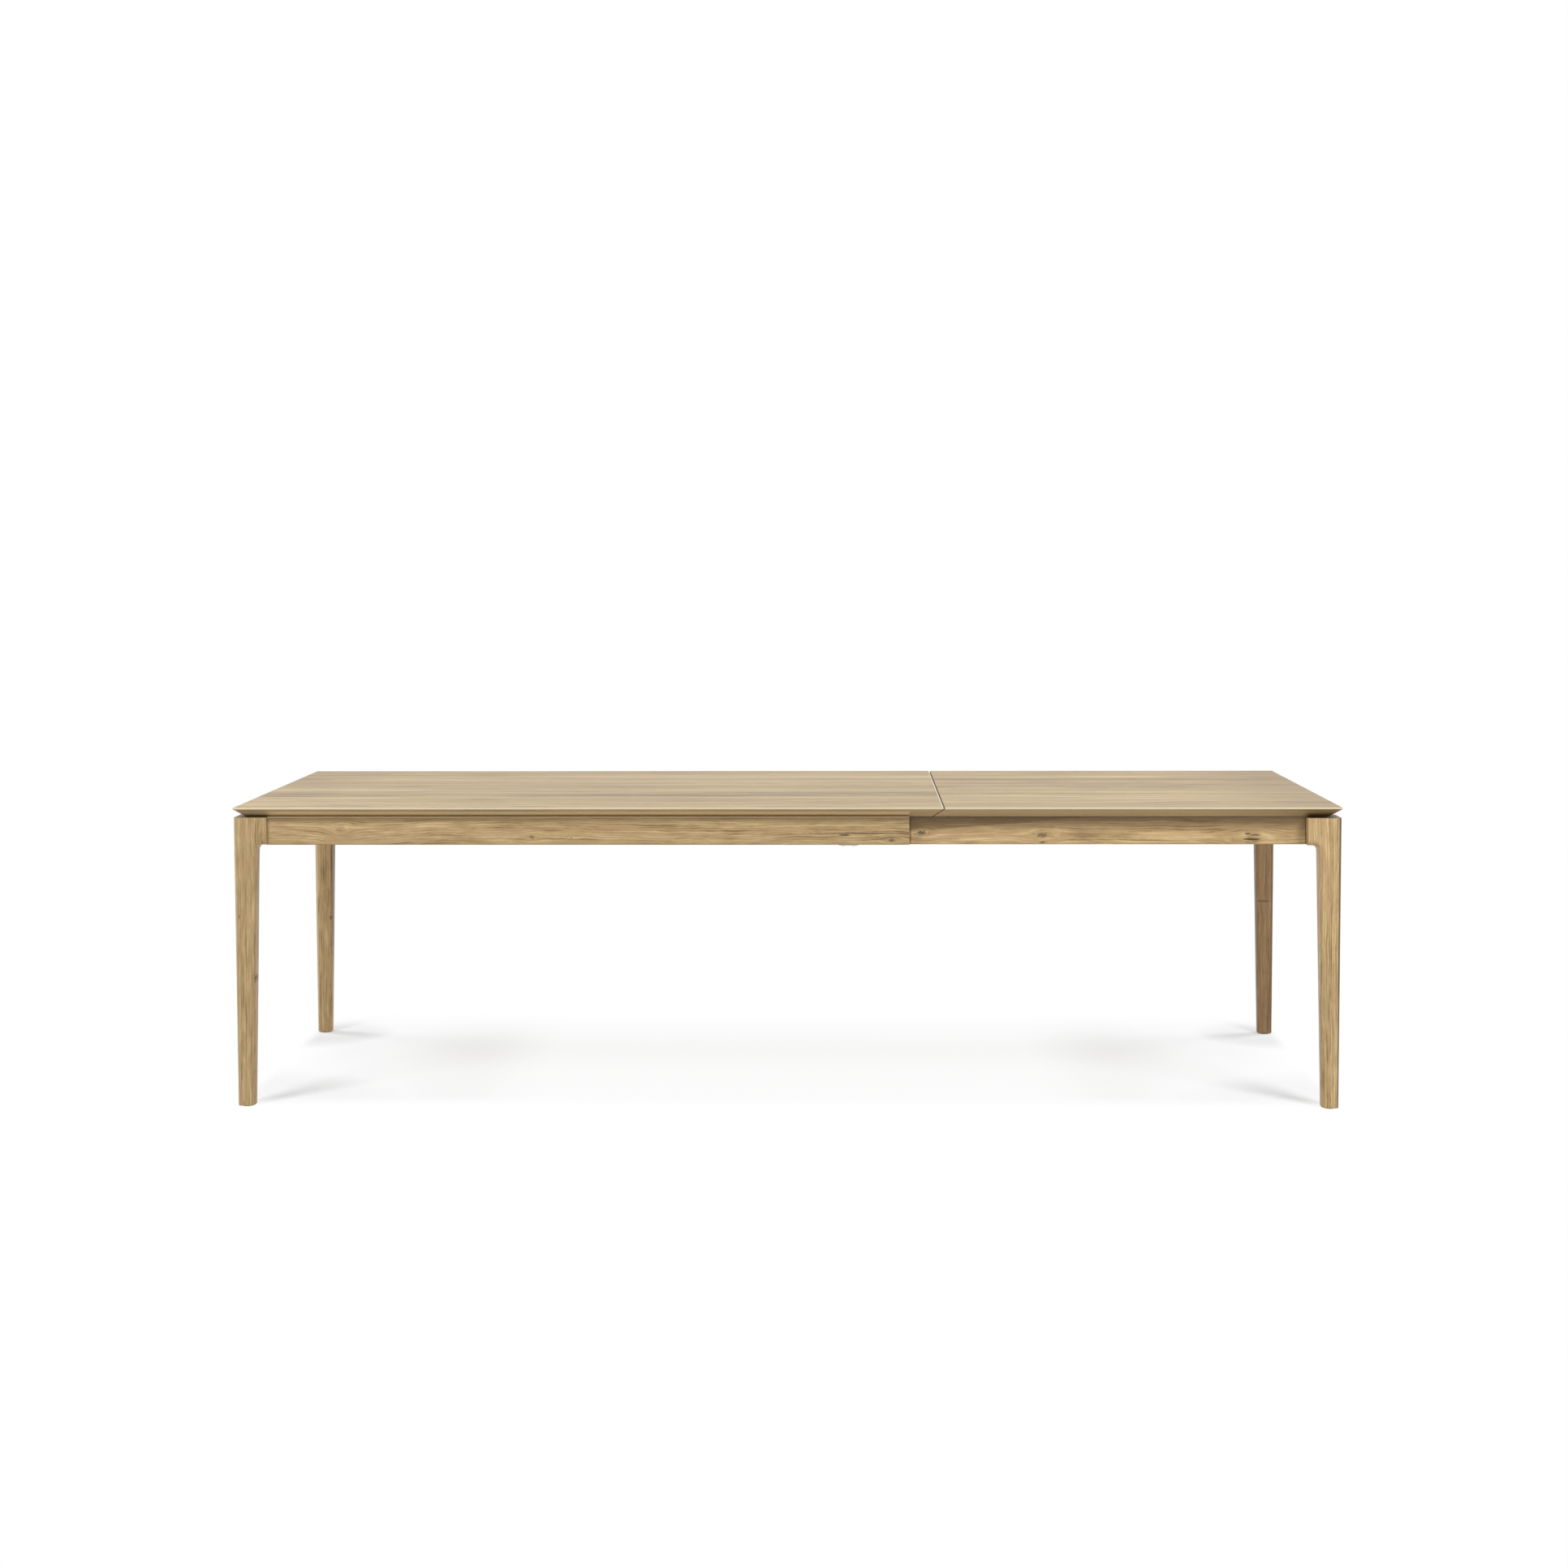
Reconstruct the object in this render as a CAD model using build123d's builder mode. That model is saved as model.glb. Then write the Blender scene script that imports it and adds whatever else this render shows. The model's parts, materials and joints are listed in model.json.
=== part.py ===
from build123d import *
import os

# Extendable dining table: a fixed frame with two legs carries the main top,
# a second frame with two legs draws out on rollers, and a loose leaf lies on it.
# X runs along the table, -Y is the front, +Z is up, the floor is at Z = 0.

# Table as it stands drawn out
table_length = 2800.0
table_width = 1000.0
table_height = 760.0
leaf_length = 1000.0

# Panels
top_thickness = 25.0
edge_height = 4.0
bevel_inset = 28.0
edge_round = 1.5
seam_gap = 2.5

# Legs
leg_setback = 2.0
leg_head = 83.0
shaft_top = 56.0
foot_width = 41.0
foot_inset = 8.0
arm_radius = 16.0
leg_corner_radius = 5.0
leg_side_radius = 14.0
leg_inner_radius = 12.0
foot_chamfer = 1.5
head_cut = 146.0
glide_height = 2.0
glide_radius = 15.0

# Aprons and their tenons
apron_height = 70.0
apron_recess = 10.0
side_apron_thickness = 25.0
end_apron_thickness = 22.0
slide_apron_thickness = 22.0
slide_gap = 2.0
slide_drop = 2.0
closed_gap = 232.0
apron_edge_ease = 1.5
apron_end_gap = 1.0
tenon_length = 18.0
tenon_shoulder = 6.0
tenon_shoulder_ends = 12.0
tenon_play = 0.2

# Rails, rollers and stops
rail_depth = 10.0
rail_web = 1.6
rail_flange = 2.0
rail_play = 0.2
rail_end_gap = 2.0
rail_lead = 16.0
roller_radius = 9.9
roller_width = 6.0
roller_play = 0.3
roller_setback = 25.0
roller_hole_radius = 1.3
roller_hole_ring = 6.3
roller_hole_count = 3
axle_radius = 3.0
axle_play = 0.08
axle_grip = 14.0
collar_radius = 5.0
stop_play = 0.5

# Keepers under the side aprons
keeper_thickness = 2.5
keeper_width = 49.0
keeper_end_gap = 129.0
keeper_setback = 5.0
keeper_play = 0.5
keeper_joggle = 3.5

# Corner braces with hanger bolts
brace_height = 45.0
brace_face = 170.0
brace_depth = 36.0
bolt_radius = 4.0
bolt_play = 0.2
bolt_grip = 40.0
bolt_end = 3.0
nut_width = 13.0
nut_height = 6.5
washer_radius = 8.5
washer_height = 1.6

# Angle plates that hold the main top to its frame
bracket_width = 50.0
bracket_length = 40.0
bracket_drop = 18.0
bracket_thickness = 2.0
bracket_pitch = 650.0
bracket_spread = 400.0

# Steel channels let into the panels
stiffener_width = 30.0
stiffener_height = 12.0
stiffener_wall = 2.0
stiffener_length = 800.0
stiffener_flush = 0.3
main_stiffener_pitch = 560.0
leaf_stiffener_pitch = 480.0

# Locks between the panels
tongue_width = 40.0
tongue_length = 130.0
tongue_reach = 60.0
tongue_spacing = 500.0
tongue_thickness = 2.4
lock_flush = 0.3
lock_play = 0.3
notch_depth = 8.0
notch_lip = 5.5
notch_play = 0.8
lever_bar = 10.0
lever_hub_radius = 9.0
lever_pivot_back = 28.0
lever_elbow = 22.0
finger_hole_radius = 3.2
pivot_radius = 3.0
pivot_head_radius = 6.0
pivot_head_height = 1.1
pivot_grip = 10.0

# Felt under the leaf
pad_width = 18.0
pad_inset = 20.0
pad_play = 0.1

# Places worked out from the sizes above
half_length = table_length / 2
half_width = table_width / 2
seam = half_length - leaf_length
under = table_height - top_thickness
slide_top = under - slide_drop
apron_bottom = under - apron_height
slide_bottom = slide_top - apron_height
bevel_start = table_height - edge_height
side_apron_back = apron_recess + side_apron_thickness
slide_apron_face = side_apron_back + slide_gap
slide_apron_back = slide_apron_face + slide_apron_thickness
end_apron_back = apron_recess + end_apron_thickness
leg_reach = leg_setback + leg_head
side_apron_start = leg_reach - half_length
side_apron_end = seam - leg_reach - apron_end_gap
travel = leaf_length
slide_start = side_apron_start + closed_gap + travel
rail_level = under - apron_height / 2 - slide_drop / 2
channel_half = roller_radius + roller_play
rail_half = channel_half + rail_flange
rail_start = slide_start - travel - rail_lead
rail_end = side_apron_end - rail_end_gap
rail_face = side_apron_back - rail_depth
roller_places = (slide_start + roller_setback, side_apron_end - roller_setback)
roller_back = side_apron_back - (rail_depth - rail_web - roller_width) / 2
lock_level = under + lock_flush + pivot_head_height + lock_play / 2
lock_top = lock_level + tongue_thickness
tongue_place = tongue_spacing / 2
tongue_start = seam - tongue_reach
notch_start = tongue_start + notch_lip
pivot_x = notch_start + notch_play - lever_pivot_back
pivot_y = tongue_place + tongue_width / 2 - notch_depth / 2
bracket_rows = (-bracket_spread / 2, bracket_spread / 2)

os.makedirs("parts", exist_ok=True)


def save(piece, name):
    """Label a finished piece and write it."""
    piece.part.label = name
    export_step(piece.part, f"parts/{name}.step")


def bar(x_from, x_to, y_from, y_to, z_from, z_to, mode=Mode.ADD):
    """Square bar between two opposite corners."""
    with Locations(((x_from + x_to) / 2, (y_from + y_to) / 2, (z_from + z_to) / 2)):
        Box(abs(x_to - x_from), abs(y_to - y_from), abs(z_to - z_from), mode=mode)


def leg_profile(outer, inward, head_top):
    """Outline of a leg in one upright plane: head, arm curve, tapering shaft."""
    Polygon(
        (outer, head_top),
        (outer + inward * leg_head, head_top),
        (outer + inward * leg_head, head_top - apron_height),
        (outer + inward * shaft_top, head_top - apron_height),
        (outer + inward * (foot_inset + foot_width), glide_height),
        (outer + inward * foot_inset, glide_height),
        align=None,
    )


def make_leg(name, end, side, head_top, tenon_face, tenon_thickness):
    """Leg with a square head and a rounded shaft, mortised for two aprons and bored for its bolt."""
    outer_x = end * (half_length - leg_setback)
    outer_y = side * (half_width - leg_setback)
    head_x = end * (half_length - leg_reach)
    head_y = side * (half_width - leg_reach)
    arm_level = head_top - apron_height
    with BuildPart() as leg:
        with BuildSketch(Plane.XZ) as front_view:
            leg_profile(outer_x, -end, head_top)
            arm = front_view.vertices().sort_by_distance((outer_x - end * shaft_top, arm_level, 0))[0]
            fillet(arm, arm_radius)
        extrude(amount=table_width, both=True)
        with BuildSketch(Plane.YZ) as side_view:
            leg_profile(outer_y, -side, head_top)
            arm = side_view.vertices().sort_by_distance((outer_y - side * shaft_top, arm_level, 0))[0]
            fillet(arm, arm_radius)
        extrude(amount=table_length, both=True, mode=Mode.INTERSECT)
        middle = head_top / 2
        lean = foot_inset / 2
        inner = shaft_top - (shaft_top - foot_inset - foot_width) / 2
        side_radius = min(leg_side_radius, 0.55 * foot_width)
        inner_radius = min(leg_inner_radius, 0.42 * foot_width)
        rounded = (
            (lean, lean, leg_corner_radius),
            (inner, lean, side_radius),
            (lean, inner, side_radius),
            (inner, inner, inner_radius),
        )
        for u, v, radius in rounded:
            place = (outer_x - end * u, outer_y - side * v, middle)
            fillet(leg.edges().sort_by_distance(place)[0], radius)
        chamfer(leg.faces().sort_by(Axis.Z)[0].edges(), foot_chamfer)
        cut = 2 * leg_reach - head_cut
        with BuildSketch(Plane.XY.offset(arm_level)):
            Polygon((head_x, head_y), (head_x, head_y + side * cut), (head_x + end * cut, head_y), align=None)
        extrude(amount=apron_height, mode=Mode.SUBTRACT)
        depth = tenon_length + tenon_play
        low = arm_level + tenon_shoulder_ends - tenon_play
        high = head_top - tenon_shoulder_ends + tenon_play
        near = half_width - tenon_face - tenon_shoulder + tenon_play
        far = half_width - tenon_face - tenon_thickness + tenon_shoulder - tenon_play
        bar(head_x, head_x + end * depth, side * near, side * far, low, high, Mode.SUBTRACT)
        near = half_length - apron_recess - tenon_shoulder + tenon_play
        far = half_length - end_apron_back + tenon_shoulder - tenon_play
        bar(end * near, end * far, head_y, head_y + side * depth, low, high, Mode.SUBTRACT)
        with BuildSketch(bolt_plane(end, side, head_cut, head_top)):
            Circle(bolt_radius + bolt_play)
        extrude(amount=-bolt_grip, mode=Mode.SUBTRACT)
    save(leg, name)


def bolt_plane(end, side, reach, head_top):
    """Plane square to a corner's diagonal, reach / 2 in from both edges of the table."""
    x = end * (half_length - reach / 2)
    y = side * (half_width - reach / 2)
    return Plane(origin=(x, y, head_top - apron_height / 2), z_dir=(-end, -side, 0))


def make_panel(name, x_from, x_to, left_lean, cut_seats):
    """Table panel with bevelled edges; its left end leans in (-1) or out (+1) below."""
    with BuildPart() as panel:
        with BuildSketch(Plane.XZ):
            Polygon(
                (x_from, table_height),
                (x_from, bevel_start),
                (x_from - left_lean * bevel_inset, under),
                (x_to - bevel_inset, under),
                (x_to, bevel_start),
                (x_to, table_height),
                align=None,
            )
        extrude(amount=table_width, both=True)
        with BuildSketch(Plane.YZ):
            Polygon(
                (-half_width, table_height),
                (-half_width, bevel_start),
                (bevel_inset - half_width, under),
                (half_width - bevel_inset, under),
                (half_width, bevel_start),
                (half_width, table_height),
                align=None,
            )
        extrude(amount=table_length, both=True, mode=Mode.INTERSECT)
        fillet(panel.faces().sort_by(Axis.Z)[-1].edges(), edge_round)
        cut_seats()
    save(panel, name)


def cut_main_top():
    """Seats under the main top: angle plates, channels and the two lock pockets."""
    half = bracket_width / 2 + tenon_play
    outer = bracket_thickness + tenon_play
    inner = bracket_length + tenon_play
    for x in bracket_places():
        for side in (-1, 1):
            back = half_width - side_apron_back
            bar(x - half, x + half, side * (back + outer), side * (back - inner),
                under, under + bracket_thickness, Mode.SUBTRACT)
    for y in bracket_rows:
        back = end_apron_back - half_length
        bar(back - outer, back + inner, y - half, y + half,
            under, under + bracket_thickness, Mode.SUBTRACT)
    for x in main_stiffener_places():
        bar(x - stiffener_width / 2, x + stiffener_width / 2, -stiffener_length / 2, stiffener_length / 2,
            under, under + stiffener_flush + stiffener_height, Mode.SUBTRACT)
    swing = ((lever_pivot_back + lever_bar) ** 2 + lever_elbow ** 2) ** 0.5
    pocket_inner = tongue_place - tongue_width / 2 - lock_play
    pocket_outer = pivot_y + swing + lock_play
    for side in (-1, 1):
        bar(pivot_x - lever_elbow - 2 * lock_play, seam, side * pocket_inner, side * pocket_outer,
            under, lock_top + lock_play, Mode.SUBTRACT)
        with Locations((pivot_x, side * pivot_y, lock_top + pivot_grip / 2)):
            Cylinder(pivot_radius, pivot_grip, mode=Mode.SUBTRACT)


def cut_leaf():
    """Seats under the leaf: channels and the two tongues."""
    for x in leaf_stiffener_places():
        bar(x - stiffener_width / 2, x + stiffener_width / 2, -stiffener_length / 2, stiffener_length / 2,
            under, under + stiffener_flush + stiffener_height, Mode.SUBTRACT)
    for side in (-1, 1):
        y = side * tongue_place
        half = tongue_width / 2 + lock_play
        bar(tongue_start, tongue_start + tongue_length, y - half, y + half, under, lock_top, Mode.SUBTRACT)


def bracket_places():
    """Middles of the angle plates along a side apron."""
    middle = (side_apron_start + side_apron_end) / 2
    return (middle - bracket_pitch, middle, middle + bracket_pitch)


def bracket_profile(back, inward):
    """Outline of an angle plate: one leg let into an apron's back, one into the top."""
    Polygon(
        (back - inward * bracket_thickness, under - bracket_drop),
        (back - inward * bracket_thickness, under + bracket_thickness),
        (back + inward * bracket_length, under + bracket_thickness),
        (back + inward * bracket_length, under),
        (back, under),
        (back, under - bracket_drop),
        align=None,
    )


def main_stiffener_places():
    """Middles of the channels under the main top."""
    middle = (seam - half_length) / 2
    return (middle - main_stiffener_pitch, middle, middle + main_stiffener_pitch)


def leaf_stiffener_places():
    """Middles of the channels under the leaf."""
    middle = (seam + half_length) / 2
    return (middle - leaf_stiffener_pitch / 2, middle + leaf_stiffener_pitch / 2)


def make_end_apron(name, end, head_top, plate_rows):
    """End apron tenoned into two leg heads, its back cut for angle plates."""
    low = head_top - apron_height
    half = half_width - leg_reach
    outer = end * (half_length - apron_recess)
    inner = end * (half_length - end_apron_back)
    with BuildPart() as apron:
        bar(outer, inner, -half, half, low, head_top)
        fillet(apron.edges().filter_by(Axis.Y).group_by(Axis.Z)[0], apron_edge_ease)
        bar(outer - end * tenon_shoulder, inner + end * tenon_shoulder,
            -half - tenon_length, half + tenon_length,
            low + tenon_shoulder_ends, head_top - tenon_shoulder_ends)
        wide = bracket_width / 2 + tenon_play
        for y in plate_rows:
            bar(inner, inner + end * bracket_thickness, y - wide, y + wide,
                head_top - bracket_drop - tenon_play, head_top, Mode.SUBTRACT)
    save(apron, name)


def make_side_apron(name, side):
    """Outer side apron, grooved inside for its rail and cut for the angle plates."""
    face = side * (half_width - apron_recess)
    back = side * (half_width - side_apron_back)
    with BuildPart() as apron:
        bar(side_apron_start, side_apron_end, face, back, apron_bottom, under)
        chamfer(apron.edges().filter_by(Axis.Z).group_by(Axis.X)[-1], apron_edge_ease)
        fillet(apron.edges().filter_by(Axis.X).group_by(Axis.Z)[0], apron_edge_ease)
        bar(side_apron_start - tenon_length, side_apron_start,
            face - side * tenon_shoulder, back + side * tenon_shoulder,
            apron_bottom + tenon_shoulder_ends, under - tenon_shoulder_ends)
        bar(rail_start - rail_play, side_apron_end, side * (half_width - rail_face), back,
            rail_level - rail_half - rail_play, rail_level + rail_half + rail_play, Mode.SUBTRACT)
        wide = bracket_width / 2 + tenon_play
        for x in bracket_places():
            bar(x - wide, x + wide, back, back + side * bracket_thickness,
                under - bracket_drop - tenon_play, under, Mode.SUBTRACT)
    save(apron, name)


def make_slide_apron(name, side):
    """Inner apron of the drawn frame, tenoned at its leg and bored for two axles."""
    face = side * (half_width - slide_apron_face)
    back = side * (half_width - slide_apron_back)
    end = half_length - leg_reach
    with BuildPart() as apron:
        bar(slide_start, end, face, back, slide_bottom, slide_top)
        fillet(apron.edges().filter_by(Axis.X).group_by(Axis.Z)[0], apron_edge_ease)
        bar(end, end + tenon_length, face - side * tenon_shoulder, back + side * tenon_shoulder,
            slide_bottom + tenon_shoulder_ends, slide_top - tenon_shoulder_ends)
        mortise_end = slide_start + slide_apron_thickness - tenon_shoulder + tenon_play
        bar(slide_start + tenon_shoulder - tenon_play, mortise_end,
            back, back + side * (slide_apron_thickness / 2 + tenon_play),
            slide_bottom + tenon_shoulder_ends - tenon_play, slide_top - tenon_shoulder_ends + tenon_play,
            Mode.SUBTRACT)
        for x in roller_places:
            with BuildSketch(Plane(origin=(x, face, rail_level), z_dir=(0, -side, 0))):
                Circle(axle_radius)
            extrude(amount=axle_grip, mode=Mode.SUBTRACT)
    save(apron, name)


def make_guide_rail(name, side):
    """Channel rail let into a side apron, open towards the rollers."""
    with BuildPart() as rail:
        with BuildSketch(Plane.YZ.offset(rail_start)):
            with Locations((side * (half_width - rail_face - rail_depth / 2), rail_level)):
                Rectangle(rail_depth, 2 * rail_half)
            with Locations((side * (half_width - rail_face - rail_web - rail_depth / 2), rail_level)):
                Rectangle(rail_depth, 2 * channel_half, mode=Mode.SUBTRACT)
        extrude(amount=rail_end - rail_start)
    save(rail, name)


def make_keeper(name, side):
    """Joggled plate under a side apron that holds the sliding apron up."""
    step = slide_drop + keeper_play
    front = half_width - apron_recess - keeper_setback
    bend = half_width - slide_apron_face + keeper_play
    back = half_width - slide_apron_back
    with BuildPart() as keeper:
        with BuildSketch(Plane.YZ.offset(side_apron_end - keeper_end_gap - keeper_width)):
            Polygon(
                (side * front, apron_bottom),
                (side * (bend + keeper_joggle), apron_bottom),
                (side * bend, apron_bottom - step),
                (side * back, apron_bottom - step),
                (side * back, apron_bottom - step - keeper_thickness),
                (side * bend, apron_bottom - step - keeper_thickness),
                (side * (bend + keeper_joggle), apron_bottom - keeper_thickness),
                (side * front, apron_bottom - keeper_thickness),
                align=None,
            )
        extrude(amount=keeper_width)
    save(keeper, name)


def make_brace(name, end, side, head_top, side_face):
    """Corner block across two aprons, bored for the leg's bolt."""
    brace_back = brace_face + brace_depth
    along_side = side * (half_width - side_face)
    along_end = end * (half_length - end_apron_back)
    middle = head_top - apron_height / 2
    with BuildPart() as brace:
        with BuildSketch(Plane.XY.offset(middle - brace_height / 2)):
            Polygon(
                (end * (half_length - brace_face + side_face), along_side),
                (end * (half_length - brace_back + side_face), along_side),
                (along_end, side * (half_width - brace_back + end_apron_back)),
                (along_end, side * (half_width - brace_face + end_apron_back)),
                align=None,
            )
        extrude(amount=brace_height)
        with BuildSketch(bolt_plane(end, side, brace_face, head_top)):
            Circle(bolt_radius + bolt_play)
        extrude(amount=brace_depth, mode=Mode.SUBTRACT)
    save(brace, name)


def make_bolts(name, end, head_top):
    """Hanger bolts from two leg heads through their corner braces."""
    length = (brace_face + brace_depth - head_cut) / 2 ** 0.5 + washer_height + nut_height + bolt_end
    with BuildPart() as bolts:
        for side in (-1, 1):
            with BuildSketch(bolt_plane(end, side, head_cut, head_top).offset(-bolt_grip)):
                Circle(bolt_radius)
            extrude(amount=bolt_grip + length)
    save(bolts, name)


def make_nuts(name, end, head_top):
    """Washers and nuts that draw two legs against their braces."""
    with BuildPart() as nuts:
        for side in (-1, 1):
            seat = bolt_plane(end, side, brace_face + brace_depth, head_top)
            with BuildSketch(seat):
                Circle(washer_radius)
            extrude(amount=washer_height)
            with BuildSketch(seat.offset(washer_height)):
                RegularPolygon(nut_width / 2, 6, major_radius=False)
            extrude(amount=nut_height)
            with BuildSketch(seat):
                Circle(bolt_radius)
            extrude(amount=washer_height + nut_height, mode=Mode.SUBTRACT)
    save(nuts, name)


def make_glides(name, end):
    """Felt discs under two feet."""
    inset = leg_setback + foot_inset + foot_width / 2
    with BuildPart() as glides:
        with BuildSketch(Plane.XY):
            for side in (-1, 1):
                with Locations((end * (half_length - inset), side * (half_width - inset))):
                    Circle(glide_radius)
        extrude(amount=glide_height)
    save(glides, name)


def make_stiffeners(name, places):
    """Steel channels let into a panel's underside, open below."""
    low = under + stiffener_flush
    with BuildPart() as channels:
        for x in places:
            with BuildSketch(Plane.XZ.offset(-stiffener_length / 2)):
                with Locations((x, low + stiffener_height / 2)):
                    Rectangle(stiffener_width, stiffener_height)
                with Locations((x, low + stiffener_height / 2 - stiffener_wall)):
                    Rectangle(stiffener_width - 2 * stiffener_wall, stiffener_height, mode=Mode.SUBTRACT)
            extrude(amount=stiffener_length)
    save(channels, name)


def make_roller(name, x, side):
    """Nylon roller with a ring of lightening holes."""
    hub = (x, side * (half_width - roller_back), rail_level)
    with BuildPart() as roller:
        with BuildSketch(Plane(origin=hub, z_dir=(0, side, 0))):
            Circle(roller_radius)
            Circle(axle_radius + axle_play, mode=Mode.SUBTRACT)
            with PolarLocations(roller_hole_ring, roller_hole_count):
                Circle(roller_hole_radius, mode=Mode.SUBTRACT)
        extrude(amount=roller_width)
    save(roller, name)


def make_lever(name, side):
    """Hooked lock lever in its open place, a quarter turn from the tongue."""
    floor = lock_level if side > 0 else lock_top
    pivot = (pivot_x, side * pivot_y, floor)
    tip = lock_play - notch_depth / 2
    with BuildPart() as lever:
        with BuildSketch(Plane(origin=pivot, x_dir=(0, side, 0), z_dir=(0, 0, side))):
            Circle(lever_hub_radius)
            with Locations((0, lever_elbow / 2)):
                Rectangle(lever_bar, lever_elbow)
            with Locations(((lever_pivot_back + lever_bar / 2) / 2, lever_elbow - lever_bar / 2)):
                Rectangle(lever_pivot_back + 1.5 * lever_bar, lever_bar)
            with Locations((lever_pivot_back + lever_bar / 2, (lever_elbow + tip) / 2)):
                Rectangle(lever_bar, lever_elbow - tip)
            Circle(pivot_radius + axle_play, mode=Mode.SUBTRACT)
            with Locations((lever_pivot_back + lever_bar / 2, lever_elbow - lever_bar / 2)):
                Circle(finger_hole_radius, mode=Mode.SUBTRACT)
        extrude(amount=tongue_thickness)
    save(lever, name)


# Fixed frame
make_panel("main_top", -half_length, seam, -1, cut_main_top)
make_leg("leg_front_left", -1, -1, under, apron_recess, side_apron_thickness)
make_leg("leg_back_left", -1, 1, under, apron_recess, side_apron_thickness)
make_end_apron("end_apron_left", -1, under, bracket_rows)
make_side_apron("side_apron_front", -1)
make_side_apron("side_apron_back", 1)
make_guide_rail("guide_rail_front", -1)
make_guide_rail("guide_rail_back", 1)
make_keeper("keeper_front", -1)
make_keeper("keeper_back", 1)
make_brace("corner_brace_front_left", -1, -1, under, side_apron_back)
make_brace("corner_brace_back_left", -1, 1, under, side_apron_back)
make_bolts("leg_bolts_left", -1, under)
make_nuts("leg_nuts_left", -1, under)
make_glides("glides_left", -1)
make_stiffeners("main_top_stiffeners", main_stiffener_places())

with BuildPart() as rail_stops:
    for side in (-1, 1):
        deep = side * (half_width - rail_face - rail_web)
        open_face = side * (half_width - side_apron_back)
        low = rail_level - channel_half
        high = rail_level + channel_half
        bar(roller_places[1] + roller_radius + stop_play, rail_end, deep, open_face, low, high)
        bar(rail_start, roller_places[0] - travel - roller_radius - stop_play, deep, open_face, low, high)
save(rail_stops, "rail_stops")

with BuildPart() as top_brackets:
    for x in bracket_places():
        for side in (-1, 1):
            with BuildSketch(Plane.YZ.offset(x)):
                bracket_profile(side * (half_width - side_apron_back), -side)
            extrude(amount=bracket_width / 2, both=True)
    for y in bracket_rows:
        with BuildSketch(Plane.XZ.offset(-y)):
            bracket_profile(end_apron_back - half_length, 1)
        extrude(amount=bracket_width / 2, both=True)
save(top_brackets, "top_brackets")

with BuildPart() as lock_pivots:
    for side in (-1, 1):
        with BuildSketch(Plane(origin=(pivot_x, side * pivot_y, under + lock_flush))):
            Circle(pivot_head_radius)
        extrude(amount=pivot_head_height)
        with BuildSketch(Plane(origin=(pivot_x, side * pivot_y, under + lock_flush))):
            Circle(pivot_radius)
        extrude(amount=lock_top + pivot_grip - under - lock_flush)
save(lock_pivots, "lock_pivots")

# Frame that draws out
make_leg("leg_front_right", 1, -1, slide_top, slide_apron_face, slide_apron_thickness)
make_leg("leg_back_right", 1, 1, slide_top, slide_apron_face, slide_apron_thickness)
make_end_apron("end_apron_right", 1, slide_top, ())
make_slide_apron("slide_apron_front", -1)
make_slide_apron("slide_apron_back", 1)
make_brace("corner_brace_front_right", 1, -1, slide_top, slide_apron_back)
make_brace("corner_brace_back_right", 1, 1, slide_top, slide_apron_back)
make_bolts("leg_bolts_right", 1, slide_top)
make_nuts("leg_nuts_right", 1, slide_top)
make_glides("glides_right", 1)

with BuildPart() as slide_cross_rail:
    half = half_width - slide_apron_back
    reach = half + slide_apron_thickness / 2
    bar(slide_start, slide_start + slide_apron_thickness, -half, half, slide_bottom, slide_top)
    bar(slide_start + tenon_shoulder, slide_start + slide_apron_thickness - tenon_shoulder, -reach, reach,
        slide_bottom + tenon_shoulder_ends, slide_top - tenon_shoulder_ends)
save(slide_cross_rail, "slide_cross_rail")

with BuildPart() as roller_axles:
    for side in (-1, 1):
        for x in roller_places:
            root = side * (half_width - slide_apron_face - axle_grip)
            with BuildSketch(Plane(origin=(x, root, rail_level), z_dir=(0, side, 0))):
                Circle(axle_radius)
            extrude(amount=axle_grip + slide_apron_face - roller_back + roller_width + roller_play)
            face = side * (half_width - slide_apron_face)
            with BuildSketch(Plane(origin=(x, face, rail_level), z_dir=(0, side, 0))):
                Circle(collar_radius)
            extrude(amount=slide_apron_face - roller_back - roller_play)
save(roller_axles, "roller_axles")

with BuildPart() as leaf_pads:
    for side in (-1, 1):
        middle = side * (half_width - slide_apron_face - slide_apron_thickness / 2)
        bar(seam + pad_inset, half_length - leg_reach - pad_inset,
            middle - pad_width / 2, middle + pad_width / 2, slide_top, under - pad_play)
        spot = (half_length - shaft_top, side * (half_width - shaft_top), slide_top)
        with BuildSketch(Plane(origin=spot)):
            Circle(glide_radius)
        extrude(amount=slide_drop - pad_play)
save(leaf_pads, "leaf_pads")

for number, x in enumerate(roller_places, start=1):
    make_roller(f"roller_front_{number}", x, -1)
    make_roller(f"roller_back_{number}", x, 1)

# Loose leaf and its locks
make_panel("leaf_panel", seam + seam_gap, half_length, 1, cut_leaf)
make_stiffeners("leaf_stiffeners", leaf_stiffener_places())

with BuildPart() as leaf_tongues:
    for side in (-1, 1):
        with BuildSketch(Plane.XY.offset(lock_level)):
            with Locations((tongue_start + tongue_length / 2, side * tongue_place)):
                Rectangle(tongue_length, tongue_width)
            slot = lever_bar + 2 * notch_play
            outer = side * (tongue_place + tongue_width / 2 - notch_depth / 2)
            with Locations((notch_start + slot / 2, outer)):
                Rectangle(slot, notch_depth, mode=Mode.SUBTRACT)
        extrude(amount=tongue_thickness)
save(leaf_tongues, "leaf_tongues")

make_lever("lock_lever_front", -1)
make_lever("lock_lever_back", 1)
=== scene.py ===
import json
import math
from collections import namedtuple

import bmesh
import bpy
from mathutils import Matrix, Vector


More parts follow.
